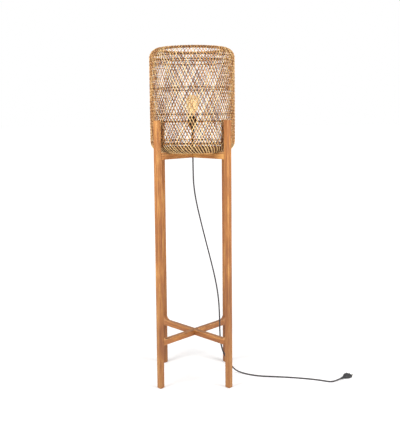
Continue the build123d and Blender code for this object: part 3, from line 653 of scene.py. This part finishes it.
give(plain("black_rubber", (0.040, 0.040, 0.042), 0.62, grain=2200.0), "cord_bush", "plug_relief")
give(plain("plug_plastic", (0.045, 0.044, 0.046), 0.45, grain=2600.0), "plug_body")


def glass(name, colour, roughness, shine):
    """Tinted glass with a slight glow of its own, as when the lamp is lit."""
    tree = Tree(name)
    place = tree.add("TexCoord").outputs["Object"]
    uneven = tree.noise(place, 30.0, 2.0)
    tint = tree.ramp(uneven, [(0.3, tuple(c * 0.96 for c in colour)), (0.7, colour)])
    return tree.finish(Base_Color=tint, Roughness=roughness, Transmission_Weight=1.0, IOR=1.45,
                       Emission_Color=colour, Emission_Strength=shine)


give(glass("amber_glass", (1.0, 0.87, 0.64), 0.08, 0.12), "bulb_glass")
give(glass("clear_glass", (0.98, 0.97, 0.94), 0.03, 0.0), "bulb_stem")


def glow():
    """A warm filament that is lit."""
    tree = Tree("filament")
    place = tree.add("TexCoord").outputs["Object"]
    uneven = tree.noise(place, 500.0, 2.0)
    warm = tree.ramp(uneven, [(0.35, (1.0, 0.74, 0.36)), (0.65, (1.0, 0.86, 0.56))])
    return tree.finish(Base_Color=warm, Roughness=0.6, Emission_Color=warm, Emission_Strength=0.85)


give(glow(), "bulb_filaments")


def sheath():
    """A fine woven fabric cover, dark grey with lighter threads."""
    tree = Tree("cord_sheath")
    place = tree.add("TexCoord").outputs["Object"]
    thread = tree.noise(place, 1400.0, 2.0)
    broad = tree.noise(place, 60.0, 2.0)
    level = tree.math("MULTIPLY_ADD", thread, 0.7, tree.math("MULTIPLY", broad, 0.3))
    colour = tree.ramp(level, [(0.35, (0.027, 0.023, 0.025)), (0.60, (0.078, 0.069, 0.073))])
    tree.bump(thread, 0.0002, 0.7)
    return tree.finish(Base_Color=colour, Roughness=0.8)


cord_finish = sheath()
cord_line.materials.append(cord_finish)
give(cord_finish, "lead_inner", "power_cord")
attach(mains_cord, "stand")
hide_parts("power_cord")


# ---- studio ---------------------------------------------------------------------------------
FLOOR_NEAR_GLOW = 0.25
FLOOR_FAR_GLOW = 0.78
FLOOR_AS_LIGHT = 0.45     # share of its glow that lights the lamp
DOME_AS_LIGHT = 0.36
DOME_SEEN = 1.0


def studio_floor():
    """A wide pale floor that shines faintly, more so far from the lamp."""
    reach = 40.0
    further_back = 20.0
    cells = 16
    row = cells + 1
    verts = [(reach * (2 * i / cells - 1), reach * (2 * j / cells - 1) + further_back, 0.0)
             for j in range(row) for i in range(row)]
    corners = [j * row + i for j in range(cells) for i in range(cells)]
    faces = [(corner, corner + 1, corner + row + 1, corner + row) for corner in corners]
    mesh = bpy.data.meshes.new("studio_floor")
    mesh.from_pydata(verts, [], faces)
    tree = Tree("studio_paper")
    place = tree.add("TexCoord").outputs["Object"]
    tone = tree.ramp(tree.noise(place, 3.0, 2.0), [(0.3, (0.86, 0.86, 0.86)), (0.7, (0.88, 0.88, 0.88))])
    away = tree.add("VectorMath", {0: place}, operation="LENGTH").outputs["Value"]
    lit = tree.span(away, 0.6, 3.0, FLOOR_NEAR_GLOW, FLOOR_FAR_GLOW, smooth=False)
    seen = tree.add("LightPath").outputs["Is Camera Ray"]
    shine = tree.math("MULTIPLY", lit, tree.span(seen, 0.0, 1.0, FLOOR_AS_LIGHT, 1.0, smooth=False))
    mesh.materials.append(tree.finish(Base_Color=tone, Roughness=0.9, Specular_IOR_Level=0.1,
                                      Emission_Color=(1.0, 1.0, 1.0), Emission_Strength=shine))
    made = bpy.data.objects.new("studio_floor", mesh)
    scene.collection.objects.link(made)


studio_floor()

world = bpy.data.worlds.new("studio_light")
world.use_nodes = True
sky = world.node_tree
dome = sky.nodes["Background"]
dome.inputs["Color"].default_value = (1.0, 1.0, 1.0, 1.0)
seen = sky.nodes.new("ShaderNodeLightPath")
strength = sky.nodes.new("ShaderNodeMapRange")
strength.inputs["To Min"].default_value = DOME_AS_LIGHT
strength.inputs["To Max"].default_value = DOME_SEEN
sky.links.new(seen.outputs["Is Camera Ray"], strength.inputs["Value"])
sky.links.new(strength.outputs["Result"], dome.inputs["Strength"])
scene.world = world


def soft_light(name, *, place, aim, size, power):
    """A white area light that doesn't show in the picture."""
    data = bpy.data.lights.new(name, "AREA")
    data.shape = "RECTANGLE"
    data.size = size[0]
    data.size_y = size[1]
    data.energy = power
    made = bpy.data.objects.new(name, data)
    made.visible_camera = False
    scene.collection.objects.link(made)
    away = Vector(place) - Vector(aim)
    made.matrix_world = Matrix.Translation(place) @ away.to_track_quat("Z", "Y").to_matrix().to_4x4()


soft_light("key_left", place=(-1.8, -1.5, 2.0), aim=(0, 0, 1.25), size=(1.2, 1.4), power=51)
soft_light("fill_right", place=(1.9, -1.2, 1.9), aim=(0, 0, 1.25), size=(1.2, 1.4), power=44)
soft_light("top", place=(0.0, -0.3, 3.4), aim=(0, 0, 0.5), size=(2.4, 2.0), power=26)
